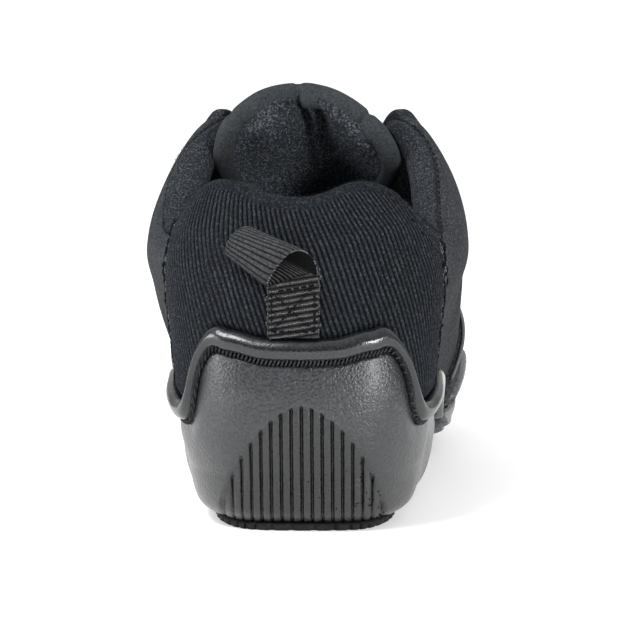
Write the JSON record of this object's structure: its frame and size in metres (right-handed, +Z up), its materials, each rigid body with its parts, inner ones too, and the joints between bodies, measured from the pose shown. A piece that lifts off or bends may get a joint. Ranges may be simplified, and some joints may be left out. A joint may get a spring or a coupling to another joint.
{
  "type": "dance sneaker",
  "caption": "Black lace-up dance sneaker for the right foot with a split moulded sole, ribbed heel cup, twill heel panel and webbing pull loop.",
  "frame": {"origin": "centre of the bounding box, on the floor", "axes": "+Y from heel to toe, +X to the lateral side of a right foot, +Z up"},
  "size_m": [0.095, 0.263, 0.1195],
  "materials": {
    "moulded": "satin",
    "rubber": "matte",
    "twill": "matte",
    "neoprene": "matte",
    "lining": "matte",
    "webbing": "matte",
    "enamel": "satin"
  },
  "bodies": {
    "root": {"upper": "neoprene", "heel_cup": "moulded", "forefoot_sole": "moulded", "heel_tread": "rubber", "forefoot_tread": "rubber", "arch_panel": "twill", "insole": "lining", "back_panel": "twill", "toe_guard": "neoprene", "eyestay": "twill", "tongue": "neoprene", "pull_tab": "webbing", "pull_loop": "webbing", "eyelet_lateral_1": "enamel", "eyelet_lateral_2": "enamel", "eyelet_lateral_3": "enamel", "eyelet_lateral_4": "enamel", "eyelet_lateral_5": "enamel", "eyelet_medial_1": "enamel", "eyelet_medial_2": "enamel", "eyelet_medial_3": "enamel", "eyelet_medial_4": "enamel", "eyelet_medial_5": "enamel", "lace_bar_1": "webbing", "lace_bar_2": "webbing", "lace_bar_3": "webbing", "lace_bar_4": "webbing", "lace_bar_5": "webbing"}
  },
  "joints": []
}
